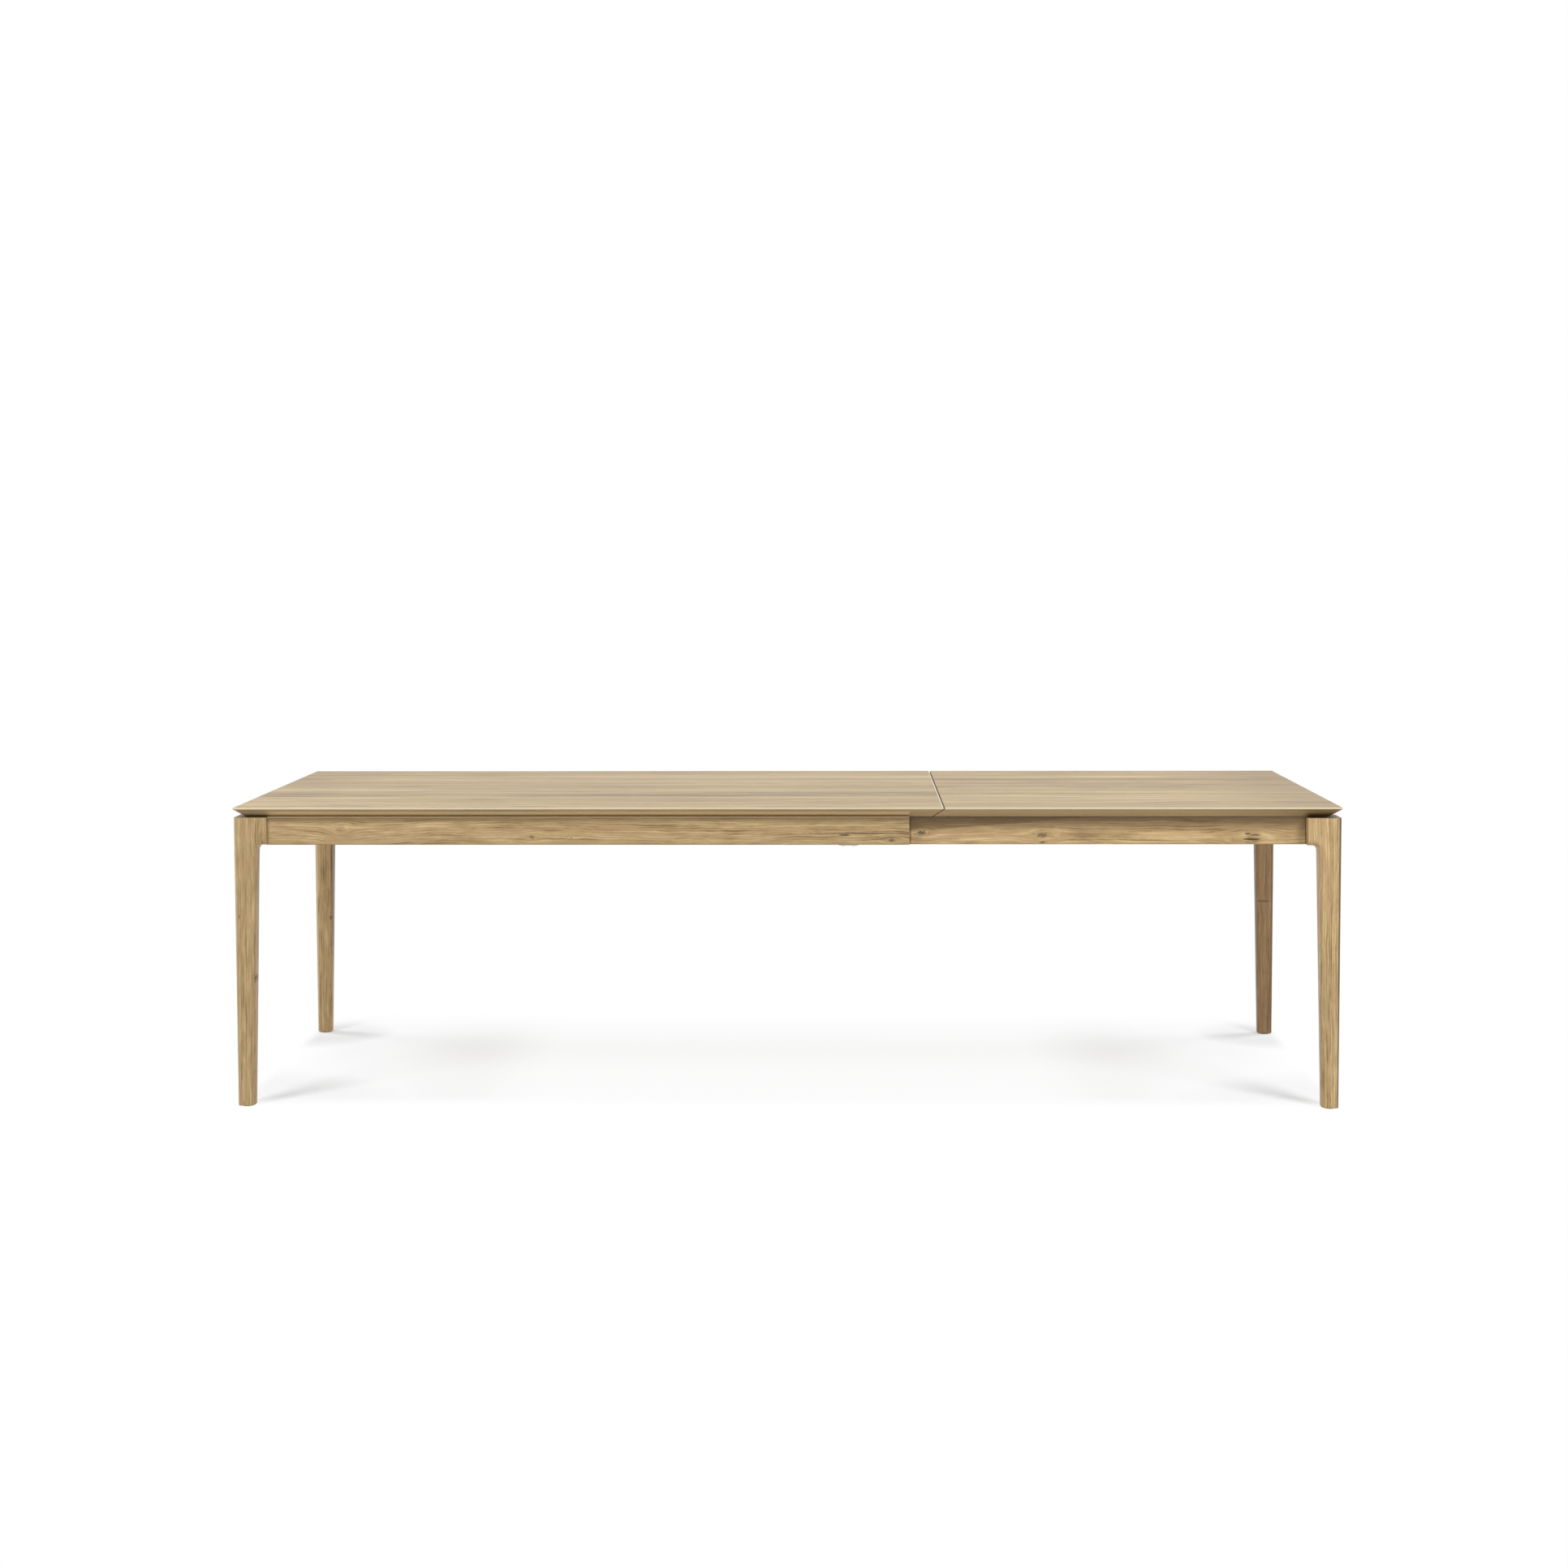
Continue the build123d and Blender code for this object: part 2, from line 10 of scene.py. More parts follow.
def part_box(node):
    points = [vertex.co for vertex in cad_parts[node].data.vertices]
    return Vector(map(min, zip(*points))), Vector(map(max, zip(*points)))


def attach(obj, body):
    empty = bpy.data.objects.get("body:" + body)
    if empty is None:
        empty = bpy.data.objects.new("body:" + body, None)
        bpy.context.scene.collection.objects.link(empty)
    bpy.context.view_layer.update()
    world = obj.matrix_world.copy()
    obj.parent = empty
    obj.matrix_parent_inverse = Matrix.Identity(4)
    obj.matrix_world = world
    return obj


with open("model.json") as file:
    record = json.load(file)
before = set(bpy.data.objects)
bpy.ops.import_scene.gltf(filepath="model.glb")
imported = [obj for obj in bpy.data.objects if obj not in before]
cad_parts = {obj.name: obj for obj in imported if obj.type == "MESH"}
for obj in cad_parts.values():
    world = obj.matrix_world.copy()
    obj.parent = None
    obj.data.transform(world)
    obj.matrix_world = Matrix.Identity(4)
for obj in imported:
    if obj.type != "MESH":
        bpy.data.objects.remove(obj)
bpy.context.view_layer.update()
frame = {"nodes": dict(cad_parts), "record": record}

# Photograph's frame and the view worked out from it
IMAGE_SIDE = 1932
FOCAL_PIXELS = 3001.0
PRINCIPAL_SHIFT_PIXELS = -283.1
SENSOR_WIDTH = 36.0
VIEW_DEPTH = 200.0
CAMERA_PLACE = (0.1381, -6.6359, 1.4215)
CAMERA_YAW = math.radians(1.292)
CAMERA_TILT = math.radians(0.211)
CAMERA_ROLL = math.radians(-0.158)

# Outlines of panels and aprons, where their edges change colour
RIM_HEIGHT = 0.004
PANEL_LOW, PANEL_HIGH = (Vector(corner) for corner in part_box("main_top"))
PANEL_UNDERSIDE = PANEL_LOW.z
PANEL_HALF_WIDTH = PANEL_HIGH.y
PANEL_HALF_LENGTH = -PANEL_LOW.x
BEVEL_TOP = PANEL_HIGH.z - RIM_HEIGHT
BEVEL_RUN = 28.0 / 21.0
SEAM = PANEL_HIGH.x
SEAM_GAP = 0.0025
APRON_LOW, APRON_HIGH = (Vector(corner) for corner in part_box("side_apron_front"))
APRON_TOP = APRON_HIGH.z
APRON_FACE = -APRON_LOW.y
APRON_END = APRON_HIGH.x

# Legs' outer and front faces at the foot, and how far each leans per metre of height
LEG_FOOT_REACH = 1.392
LEG_LEAN = 0.006 / 0.735
FRONT_LEG_FACE = {"foot": -0.492, "lean": -LEG_LEAN}
BACK_LEG_FACE = {"foot": 0.451, "lean": -0.009 / 0.589}

# Floor: its tones, and how much of the table's shadow shows by place, in metres
FLOOR_HALF = 40.0
FLOOR_BOUNCE = (0.80, 0.80, 0.80)
FLOOR_SHADOW = (0.840, 0.862, 0.898)
FLOOR_GLOW = 0.185
SHADOW_MIDDLE = 0.13
SHADOW_SIDE = 0.33
SHADOW_RISE = (0.62, 0.92)
SHADOW_END = (1.41, 1.22)
SHADOW_FRONT = (-0.49, -0.35)
SHADOW_BACK = (0.80, 0.30)
FOOT_MIDDLE = 1.36
FOOT_SHADOWS = ({"y": -0.46, "fade": (0.50, 0.20)}, {"y": 0.46, "fade": (0.27, 0.09)})
FOOT_SHADOW_END = (1.41, 1.37)

# Surroundings and lamps
WORLD_LIGHT = 0.30
LAMP_TARGET = (0.0, 0.0, 0.5)
LAMPS = (
    {"name": "front_left", "place": (-3.0, -2.95, 3.4), "side": 1.2, "power": 85.0},
    {"name": "front_right", "place": (3.0, -2.95, 3.4), "side": 1.2, "power": 95.0},
    {"name": "back_left", "place": (-3.0, 1.1, 3.2), "side": 0.8, "power": 34.0},
    {"name": "back_right", "place": (3.0, 1.1, 3.2), "side": 0.8, "power": 34.0},
)

# Oak tones in linear light
OAK_PALE = (0.680, 0.498, 0.255)
OAK_MID = (0.462, 0.318, 0.145)
OAK_DARK = (0.215, 0.132, 0.050)
# Knots and cracks, and painted shade in gaps, joints and on the right legs' corners
OAK_MARK_AND_SHADE = (0.070, 0.036, 0.016)
# End grain, darker still as painted shade in the gap under the panel
OAK_END_GRAIN_AND_SHADE = (0.110, 0.066, 0.028)
OAK_ROSE = (0.480, 0.305, 0.165)
OAK_BEVEL = (0.520, 0.365, 0.180)
# Pale oak for the aprons' top faces, and painted light on the bevel's shaded strip over the side aprons
OAK_PALE_FACE = (0.720, 0.585, 0.370)
# Painted highlight on lit arrises
OAK_PAINTED_HIGHLIGHT = (0.800, 0.675, 0.475)

# Panels are greyer than the frame, and the back right leg is browner, and darker as painted shade
PANEL_TINT = (0.860, 0.880, 0.830)
BROWN_AND_SHADE_TINT = (0.680, 0.610, 0.560)
PATCH_TONE = 1.2
# Tone of the painted shade under the aprons' overhang
OVERHANG_SHADE_TONE = 0.7

# Boards: each has its own pith and its own place along the grain
STAVE_WIDTH = 0.118
STAVE_SEED = 7.3
STAVE_SHIFT = 9.0
PITH_SPREAD = 0.24
PIECE_SHIFT = 3.7
PIECE_PITH = 0.05
PIECE_PITH_SEED = 5.1

# Sway and ripple of the grain, in metres to one side
SWAY = 0.030
SWAY_STRETCH = 0.9
SWAY_SCALE = 2.2
RIPPLE = 0.006
RIPPLE_ALONG = 5.0
RIPPLE_ACROSS = 14.0
RIPPLE_SCALE = 3.0
RIPPLE_DETAIL = 3.0
SWELL_FALL = -0.10

# Growth rings round a pith below the surface
RINGS_PER_METRE = 150.0
PITH_DEPTH = 0.11
PITH_FLATTENING = 0.35
RING_WANDER = 0.6
LATE_WOOD = (0.15, 0.85)
LATE_WOOD_END = (1.0, 0.9)

# Layers of lines: how often they change along and across the grain, their detail, roughness and fade
Lines = namedtuple("Lines", "along across detail roughness fade")
STREAKS = Lines(2.6, 150.0, 5.0, 0.66, (0.30, 0.70))
FLECKS = Lines(16.0, 95.0, 3.0, 0.60, (0.32, 0.68))
FINE_LINES = Lines(7.0, 300.0, 3.0, 0.60, (0.34, 0.66))
BROAD_BANDS = Lines(0.9, 28.0, 3.0, 0.55, (0.30, 0.70))
STAVE_BANDS = Lines(0.35, 17.0, 3.0, 0.60, (0.32, 0.68))
STAVE_STREAKS = Lines(0.70, 40.0, 3.0, 0.60, (0.32, 0.68))
PORES = Lines(26.0, 900.0, 2.0, 0.50, (0.58, 0.70))

# Weight of each layer in the shading of a single piece and of a panel of staves
RING_WEIGHT = 0.30
STAVE_TONE_WEIGHT = 0.60
PIECE_LAYERS = ((STREAKS, 0.45), (FLECKS, 0.40), (FINE_LINES, 0.45), (BROAD_BANDS, 0.22))
STAVE_LAYERS = (
    (STREAKS, 0.60),
    (FINE_LINES, 0.45),
    (BROAD_BANDS, 0.22),
    (STAVE_BANDS, 0.45),
    (STAVE_STREAKS, 0.40),
)

# From shading to colour
TONE_MIDDLE = 0.50
TONE_SPREAD = 0.35
PANEL_CONTRAST = 1.8
PORE_SHARE = 0.40
ROSE_ALONG = 3.0
ROSE_ACROSS = 24.0
ROSE_FADE = (0.45, 0.75, 0.0, 0.45)
SLANT_BLUR = 0.004

# Oiled finish: relief of streaks and pores, and roughness
STREAK_RELIEF = 0.5
PORE_RELIEF = 0.5
OAK_BUMP = {"strength": 0.30, "distance": 0.0006}
OIL_ROUGHNESS = 0.36
OIL_ROUGHNESS_RANGE = 0.16

# Ragged outlines of knots, cracks and patches
RAGGED_ALONG = 160.0
RAGGED_ACROSS = 420.0
KNOT_RAGGED = (0.34, 0.66, 0.25, 2.8)
CRACK_RAGGED = (0.30, 0.70, 0.70, 1.25)
MARK_FADE = (1.4, 0.35)

# Faces and arrises, with painted highlights and painted shade on some: where a colour starts and where it
# is full, in metres from the edge
FACE_SKIN = (0.0006, 0.0002)
LOWER_ARRIS = (0.0032, 0.0012)
LOWER_ARRIS_SHADE_SHARE = 0.45
OVERHANG_SHADE_RAGGED = 0.006
BEVEL_SKIN = 0.0008
BEVEL_SHARE = 0.60
RIM = (0.0016, 0.0004)
RIM_LEVELS = (-0.0006, 0.0002)
RIM_HIGHLIGHT_SHARE = 0.95
BURNISHED_SHARE = 0.55
MIDDLE_FADE = 0.01
SEAM_ARRIS_HIGHLIGHT = (0.0040, 0.0026)
SEAM_WALL = (0.0014, 0.0006)
SEAM_WALL_SHADE_SHARE = 0.90
END_GRAIN_AND_SHADE_SHARE = 0.90
STRIP_CORE = 0.7
STRIP_DEPTH = (0.0065, 0.0045)

# Panels' ends, darker towards the right and at the back of the left
RIGHT_END = {"start": 1.04, "share": 0.50}
LEFT_END = {"start": -1.05, "share": 0.42, "back": (-0.02, 0.12)}

# Painted shade in the gap over the legs on the bevel's lower part, and painted light on the bevel's shaded
# strip over the side aprons
GAP_LENGTHWAYS = (1.300, 1.325)
GAP_INSET = (0.014, 0.024)
GAP_ABOVE_UNDERSIDE = (0.0002, 0.0012)
GAP_BELOW_BEVEL_TOP = (0.008, 0.012)
GAP_SHADE_SHARE = 0.65
PAINTED_LIGHT_STRIP_OUTER = (0.002, -0.003)
PAINTED_LIGHT_STRIP_INNER = (-0.015, -0.011)
PAINTED_LIGHT_STRIP_BLUR = 0.004

# Places of a mix node's two colours among its inputs, and of its colour among its outputs
FIRST_COLOR = 6
SECOND_COLOR = 7
MIXED_COLOR = 2


class Graph:
    """A material's node tree with short calls for the nodes it needs."""

    def __init__(self, name):
        self.material = bpy.data.materials.new(name)
        self.material.use_nodes = True
        self.tree = self.material.node_tree
        self.tree.nodes.clear()
        self.output = self.tree.nodes.new("ShaderNodeOutputMaterial")

    def node(self, kind, **settings):
        made = self.tree.nodes.new(kind)
        for key, value in settings.items():
            setattr(made, key, value)
        return made

    def feed(self, socket, value):
        """Link a socket, or set it where the value is plain."""
        if isinstance(value, bpy.types.NodeSocket):
            self.tree.links.new(value, socket)
        elif value is not None:
            socket.default_value = value

    def feed_color(self, socket, color):
        linked = isinstance(color, bpy.types.NodeSocket)
        self.feed(socket, color if linked else (*color, 1.0))

    def math(self, operation, first, second=None, third=None, clamp=False):
        made = self.node("ShaderNodeMath", operation=operation, use_clamp=clamp)
        for index, value in enumerate((first, second, third)):
            self.feed(made.inputs[index], value)
        return made.outputs[0]

    def product(self, first, *others):
        for other in others:
            first = self.math("MULTIPLY", first, other)
        return first

    def span(self, value, low, high, to_low=0.0, to_high=1.0):
        """Smooth change from one value to another between two limits."""
        made = self.node("ShaderNodeMapRange", interpolation_type="SMOOTHSTEP")
        for index, item in enumerate((value, low, high, to_low, to_high)):
            self.feed(made.inputs[index], item)
        return made.outputs[0]

    def split(self, vector):
        made = self.node("ShaderNodeSeparateXYZ")
        self.feed(made.inputs[0], vector)
        return made.outputs

    def join(self, x, y, z):
        made = self.node("ShaderNodeCombineXYZ")
        for index, value in enumerate((x, y, z)):
            self.feed(made.inputs[index], value)
        return made.outputs[0]

    def noise(self, vector, scale=1.0, detail=2.0, roughness=0.5, distortion=0.0):
        made = self.node("ShaderNodeTexNoise")
        self.feed(made.inputs["Vector"], vector)
        made.inputs["Scale"].default_value = scale
        made.inputs["Detail"].default_value = detail
        made.inputs["Roughness"].default_value = roughness
        made.inputs["Distortion"].default_value = distortion
        return made.outputs["Fac"]

    def chance(self, value):
        made = self.node("ShaderNodeTexWhiteNoise", noise_dimensions="1D")
        self.feed(made.inputs["W"], value)
        return made.outputs

    def blend(self, factor, first, second):
        made = self.node("ShaderNodeMix", data_type="RGBA", blend_type="MIX")
        self.feed(made.inputs["Factor"], factor)
        self.feed_color(made.inputs[FIRST_COLOR], first)
        self.feed_color(made.inputs[SECOND_COLOR], second)
        return made.outputs[MIXED_COLOR]

    def bump(self, height, strength, distance):
        made = self.node("ShaderNodeBump")
        made.inputs["Strength"].default_value = strength
        made.inputs["Distance"].default_value = distance
        self.feed(made.inputs["Height"], height)
        return made.outputs[0]

    def place(self):
        return self.node("ShaderNodeTexCoord").outputs["Object"]

    def surface(self, color, roughness, normal=None, metallic=0.0, **sockets):
        shader = self.node("ShaderNodeBsdfPrincipled")
        self.feed_color(shader.inputs["Base Color"], color)
        self.feed(shader.inputs["Roughness"], roughness)
        shader.inputs["Metallic"].default_value = metallic
        self.feed(shader.inputs["Normal"], normal)
        for name, value in sockets.items():
            shader.inputs[name.replace("_", " ").title()].default_value = value
        self.tree.links.new(shader.outputs[0], self.output.inputs[0])
        return self.material


def scaled(color, tint):
    """A colour times one factor, or times one factor for each of its three parts."""
    factors = tint if isinstance(tint, tuple) else (tint,) * 3
    return tuple(part * factor for part, factor in zip(color, factors))


def knot(along, across, length, width, strength, swirl=0.0):
    """A mark's middle, half length and half width, its strength, and how far grain flows round it."""
    return {"along": along, "across": across, "length": length, "width": width,
            "strength": strength, "swirl": swirl}


def crack(start, end, across, width, strength):
    """A thin mark from one place along the grain to another."""
    return knot((start + end) / 2, across, (end - start) / 2, width, strength)


def mark_field(graph, along, across, mark):
    """Squared, scaled distance from a mark's middle."""
    x = graph.math("DIVIDE", graph.math("SUBTRACT", along, mark["along"]), mark["length"])
    y = graph.math("DIVIDE", graph.math("SUBTRACT", across, mark["across"]), mark["width"])
    return graph.math("ADD", graph.product(x, x), graph.product(y, y))


def mark_shade(graph, along, across, depth, marks):
    """How strongly marks show at each point, with ragged outlines."""
    place = graph.join(graph.product(along, RAGGED_ALONG), graph.product(across, RAGGED_ACROSS),
                       graph.product(depth, RAGGED_ALONG))
    ragged = graph.noise(place, detail=3.0, roughness=0.6)
    worn = graph.span(ragged, *KNOT_RAGGED)
    frayed = graph.span(ragged, *CRACK_RAGGED)
    shade = None
    for mark in marks:
        field = graph.product(mark_field(graph, along, across, mark), worn if mark["swirl"] else frayed)
        spot = graph.product(graph.span(field, *MARK_FADE), mark["strength"])
        shade = spot if shade is None else graph.math("MAXIMUM", shade, spot)
    return shade


def grain_swell(graph, along, across, marks):
    """Sideways push of the grain where it flows round knots."""
    swell = None
    for mark in marks:
        if not mark["swirl"]:
            continue
        hill = graph.math("EXPONENT", graph.product(mark_field(graph, along, across, mark), SWELL_FALL))
        side = graph.math("SUBTRACT", across, mark["across"])
        push = graph.product(hill, graph.product(side, mark["swirl"]))
        swell = push if swell is None else graph.math("ADD", swell, push)
    return swell


def board_place(graph, across, seed, stave):
    """Shift along a board, its pith, the place across it and its own tone."""
    if not stave:
        return seed * PIECE_SHIFT, PIECE_PITH * math.sin(seed * PIECE_PITH_SEED), across, None
    moved = graph.math("ADD", across, seed)
    strip = graph.math("FLOOR", graph.math("DIVIDE", moved, stave))
    luck = graph.chance(graph.math("ADD", strip, seed * STAVE_SEED))
    draws = graph.split(luck["Color"])
    shift = graph.product(draws[0], STAVE_SHIFT)
    pith = graph.math("MULTIPLY_ADD", draws[1], PITH_SPREAD, -PITH_SPREAD / 2)
    middle = graph.product(graph.math("ADD", strip, 0.5), stave)
    return shift, pith, graph.math("SUBTRACT", moved, middle), luck["Value"]


def grain_wander(graph, far, local, depth):
    """Slow sway and finer ripple of the grain to one side."""
    sway = graph.noise(graph.join(graph.product(far, SWAY_STRETCH), local, depth), SWAY_SCALE)
    wander = graph.math("MULTIPLY_ADD", sway, SWAY, -SWAY / 2)
    place = graph.join(graph.product(far, RIPPLE_ALONG), graph.product(local, RIPPLE_ACROSS), depth)
    return graph.math("MULTIPLY_ADD", graph.noise(place, RIPPLE_SCALE, RIPPLE_DETAIL), RIPPLE, wander)


def late_wood(graph, side, depth, wander):
    """Dark late wood of the growth rings."""
    below = graph.math("ADD", depth, PITH_DEPTH)
    flattened = graph.product(below, below, PITH_FLATTENING)
    radius = graph.math("SQRT", graph.math("ADD", graph.product(side, side), flattened))
    radius = graph.math("MULTIPLY_ADD", wander, RING_WANDER, radius)
    ring = graph.math("FRACT", graph.product(radius, RINGS_PER_METRE))
    return graph.product(graph.span(ring, *LATE_WOOD), graph.span(ring, *LATE_WOOD_END))


def weighted_mean(graph, layers):
    total = sum(weight for layer, weight in layers)
    shade = 0.0
    for layer, weight in layers:
        shade = graph.math("MULTIPLY_ADD", layer, weight / total, shade)
    return shade


def apron_painted_shade(graph, across, streak, color, overhang_shade):
    """Painted shade in a band under an apron's overhang, its paler top face, and painted shade on its lower
    arris.
    """
    # Painted shade: a ragged darker band down from the apron's top, under the overhang
    ragged = graph.math("MULTIPLY_ADD", graph.math("SUBTRACT", streak, 0.5), OVERHANG_SHADE_RAGGED, across)
    band = graph.span(ragged, APRON_TOP - overhang_shade["reach"], APRON_TOP, 0.0, overhang_shade["strength"])
    color = graph.blend(band, color, scaled(OAK_DARK, OVERHANG_SHADE_TONE))
    top_face = graph.span(across, *(APRON_TOP - inset for inset in FACE_SKIN))
    color = graph.blend(top_face, color, OAK_PALE_FACE)
    # Painted shade on the lower arris
    lower = graph.span(across, *(overhang_shade["foot"] + inset for inset in LOWER_ARRIS), 0.0, LOWER_ARRIS_SHADE_SHARE)
    return graph.blend(lower, color, OAK_DARK)


def oak(name, grain, across_axis, seed, tone=1.0, stave=None, contrast=1.0, marks=(), patches=(),
        edges=None, slant=None, overhang_shade=None):
    """Oiled oak: growth rings, streaks and pores along one axis, with knots, cracks and coloured edges, and
    painted shade under an overhang.
    """
    graph = Graph(name)
    pale, mid, deep, rose = (scaled(color, tone) for color in (OAK_PALE, OAK_MID, OAK_DARK, OAK_ROSE))
    axes = dict(zip("XYZ", graph.split(graph.place())))
    along = axes[grain]
    across = axes[across_axis]
    depth = next(axes[axis] for axis in "XYZ" if axis not in (grain, across_axis))

    shift, pith, local, stave_tone = board_place(graph, across, seed, stave)
    far = graph.math("ADD", along, shift)
    wander = grain_wander(graph, far, local, depth)
    swell = grain_swell(graph, along, across, marks)
    if swell is not None:
        wander = graph.math("SUBTRACT", wander, swell)
    side = graph.math("ADD", graph.math("SUBTRACT", local, pith), wander)

    def lines(kind):
        place = graph.join(graph.product(far, kind.along), graph.product(side, kind.across),
                           graph.product(depth, kind.across))
        return graph.noise(place, detail=kind.detail, roughness=kind.roughness)

    streak = lines(STREAKS)
    layers = [(late_wood(graph, side, depth, wander), RING_WEIGHT)]
    for kind, weight in STAVE_LAYERS if stave else PIECE_LAYERS:
        layer = streak if kind is STREAKS else lines(kind)
        layers.append((graph.span(layer, *kind.fade), weight))
    if stave:
        layers.append((stave_tone, STAVE_TONE_WEIGHT))
    shade = weighted_mean(graph, layers)
    if slant:
        rise = graph.math("MULTIPLY_ADD", along, -slant["slope"], across)
        start = slant["level"] - SLANT_BLUR
        end = slant["level"] + SLANT_BLUR
        shade = graph.math("ADD", shade, graph.span(rise, start, end, 0.0, slant["strength"]))

    spread = TONE_SPREAD / contrast
    color = graph.blend(graph.span(shade, TONE_MIDDLE - spread, TONE_MIDDLE), pale, mid)
    color = graph.blend(graph.span(shade, TONE_MIDDLE, TONE_MIDDLE + spread), color, deep)
    pore = graph.span(lines(PORES), *PORES.fade)
    color = graph.blend(graph.product(pore, PORE_SHARE), color, deep)
    drift = graph.noise(graph.join(graph.product(far, ROSE_ALONG), graph.product(side, ROSE_ACROSS), depth))
    color = graph.blend(graph.span(drift, *ROSE_FADE), color, rose)
    relief = graph.math("SUBTRACT", graph.product(streak, STREAK_RELIEF), graph.product(pore, PORE_RELIEF))

    if patches:
        color = graph.blend(mark_shade(graph, along, across, depth, patches), color,
                            scaled(OAK_PALE, PATCH_TONE))
    if marks:
        dark = mark_shade(graph, along, across, depth, marks)
        color = graph.blend(dark, color, OAK_MARK_AND_SHADE)
        relief = graph.math("SUBTRACT", relief, dark)
    if edges:
        color = edges(graph, axes, color)
    # Painted shade under the overhang, on aprons
    if overhang_shade:
        color = apron_painted_shade(graph, across, streak, color, overhang_shade)

    rough = graph.math("MULTIPLY_ADD", streak, OIL_ROUGHNESS_RANGE, OIL_ROUGHNESS)
    return graph.surface(color, rough, graph.bump(relief, **OAK_BUMP))


def panel_ends(graph, axes, color):
    """Panel's darker ends."""
    right = graph.span(axes["X"], RIGHT_END["start"], PANEL_HALF_LENGTH, 0.0, RIGHT_END["share"])
    left = graph.span(axes["X"], LEFT_END["start"], -PANEL_HALF_LENGTH, 0.0, LEFT_END["share"])
    left = graph.product(left, graph.span(axes["Y"], *LEFT_END["back"]))
    return graph.blend(graph.math("MAXIMUM", left, right), color, OAK_DARK)


def leg_gap_painted_shade(graph, axes, out_x, out_y, color):
    """Painted shade in the gap between a leg's head and the bevel's lower part."""
    inset = graph.span(out_y, *(PANEL_HALF_WIDTH - inset for inset in GAP_INSET))
    above = graph.span(axes["Z"], *(PANEL_UNDERSIDE + rise for rise in GAP_ABOVE_UNDERSIDE))
    low = graph.span(axes["Z"], *(BEVEL_TOP - drop for drop in GAP_BELOW_BEVEL_TOP))
    over_legs = graph.span(out_x, *GAP_LENGTHWAYS)
    return graph.blend(graph.product(inset, above, low, over_legs, GAP_SHADE_SHARE), color, OAK_MARK_AND_SHADE)


def painted_light_strip(graph, axes, out_y, below, color):
    """Painted light on the bevel's strip over the side apron, which lies in shade."""
    outer = graph.span(out_y, *(APRON_FACE + step for step in PAINTED_LIGHT_STRIP_OUTER))
    inner = graph.span(out_y, *(APRON_FACE + step for step in PAINTED_LIGHT_STRIP_INNER))
    over_apron = graph.span(axes["X"], APRON_END + PAINTED_LIGHT_STRIP_BLUR, APRON_END - PAINTED_LIGHT_STRIP_BLUR)
    return graph.blend(graph.product(below, outer, inner, over_apron), color, OAK_PALE_FACE)


def seam_wall_painted_shade(graph, axes, color):
    """Painted shade on the wall of the seam, which follows the bevel's slope."""
    drop = graph.math("MAXIMUM", graph.math("SUBTRACT", BEVEL_TOP, axes["Z"]), 0.0)
    slope = graph.math("MULTIPLY_ADD", drop, BEVEL_RUN, axes["X"])
    wall = graph.span(slope, *(SEAM + SEAM_GAP + inset for inset in SEAM_WALL))
    return graph.blend(graph.product(wall, SEAM_WALL_SHADE_SHARE), color, OAK_MARK_AND_SHADE)


def panel_edges(at_seam):
    """Painted highlight on the front rim, burnished other rims, warmer bevel and darker ends of a panel,
    painted shade in the gap over the legs, and its side of the seam: for the main panel a painted highlight
    on the seam arris and painted light on the bevel strip over the side aprons, for the leaf painted shade
    on the seam wall.
    """
    def paint(graph, axes, color):
        out_x = graph.math("ABSOLUTE", axes["X"])
        out_y = graph.math("ABSOLUTE", axes["Y"])
        below = graph.span(axes["Z"], BEVEL_TOP, BEVEL_TOP - BEVEL_SKIN)
        color = graph.blend(graph.product(below, BEVEL_SHARE), color, OAK_BEVEL)
        color = panel_ends(graph, axes, color)

        rim_y = graph.span(out_y, *(PANEL_HALF_WIDTH - inset for inset in RIM))
        rim_x = graph.span(out_x, *(PANEL_HALF_LENGTH - inset for inset in RIM))
        front = graph.span(axes["Y"], MIDDLE_FADE, -MIDDLE_FADE)
        back = graph.span(axes["Y"], -MIDDLE_FADE, MIDDLE_FADE)
        burnished = graph.math("MAXIMUM", rim_x, graph.product(rim_y, back))
        color = graph.blend(graph.product(burnished, BURNISHED_SHARE), color, OAK_DARK)
        # Painted shade in the gap over the legs
        color = leg_gap_painted_shade(graph, axes, out_x, out_y, color)

        # Painted highlight along the front rim, and on the main panel along the seam arris
        highlight_rim = graph.product(rim_y, front)
        if at_seam == "pale":
            highlight_rim = graph.math("MAXIMUM", highlight_rim, graph.span(axes["X"], *(SEAM - inset for inset in SEAM_ARRIS_HIGHLIGHT)))
            # Painted light on the bevel's shaded strip over the side aprons
            color = painted_light_strip(graph, axes, out_y, below, color)
        upper = graph.span(axes["Z"], *(BEVEL_TOP + level for level in RIM_LEVELS))
        color = graph.blend(graph.product(highlight_rim, upper, RIM_HIGHLIGHT_SHARE), color, OAK_PAINTED_HIGHLIGHT)
        # Painted shade on the leaf's seam wall
        if at_seam == "dark":
            color = seam_wall_painted_shade(graph, axes, color)
        return color
    return paint


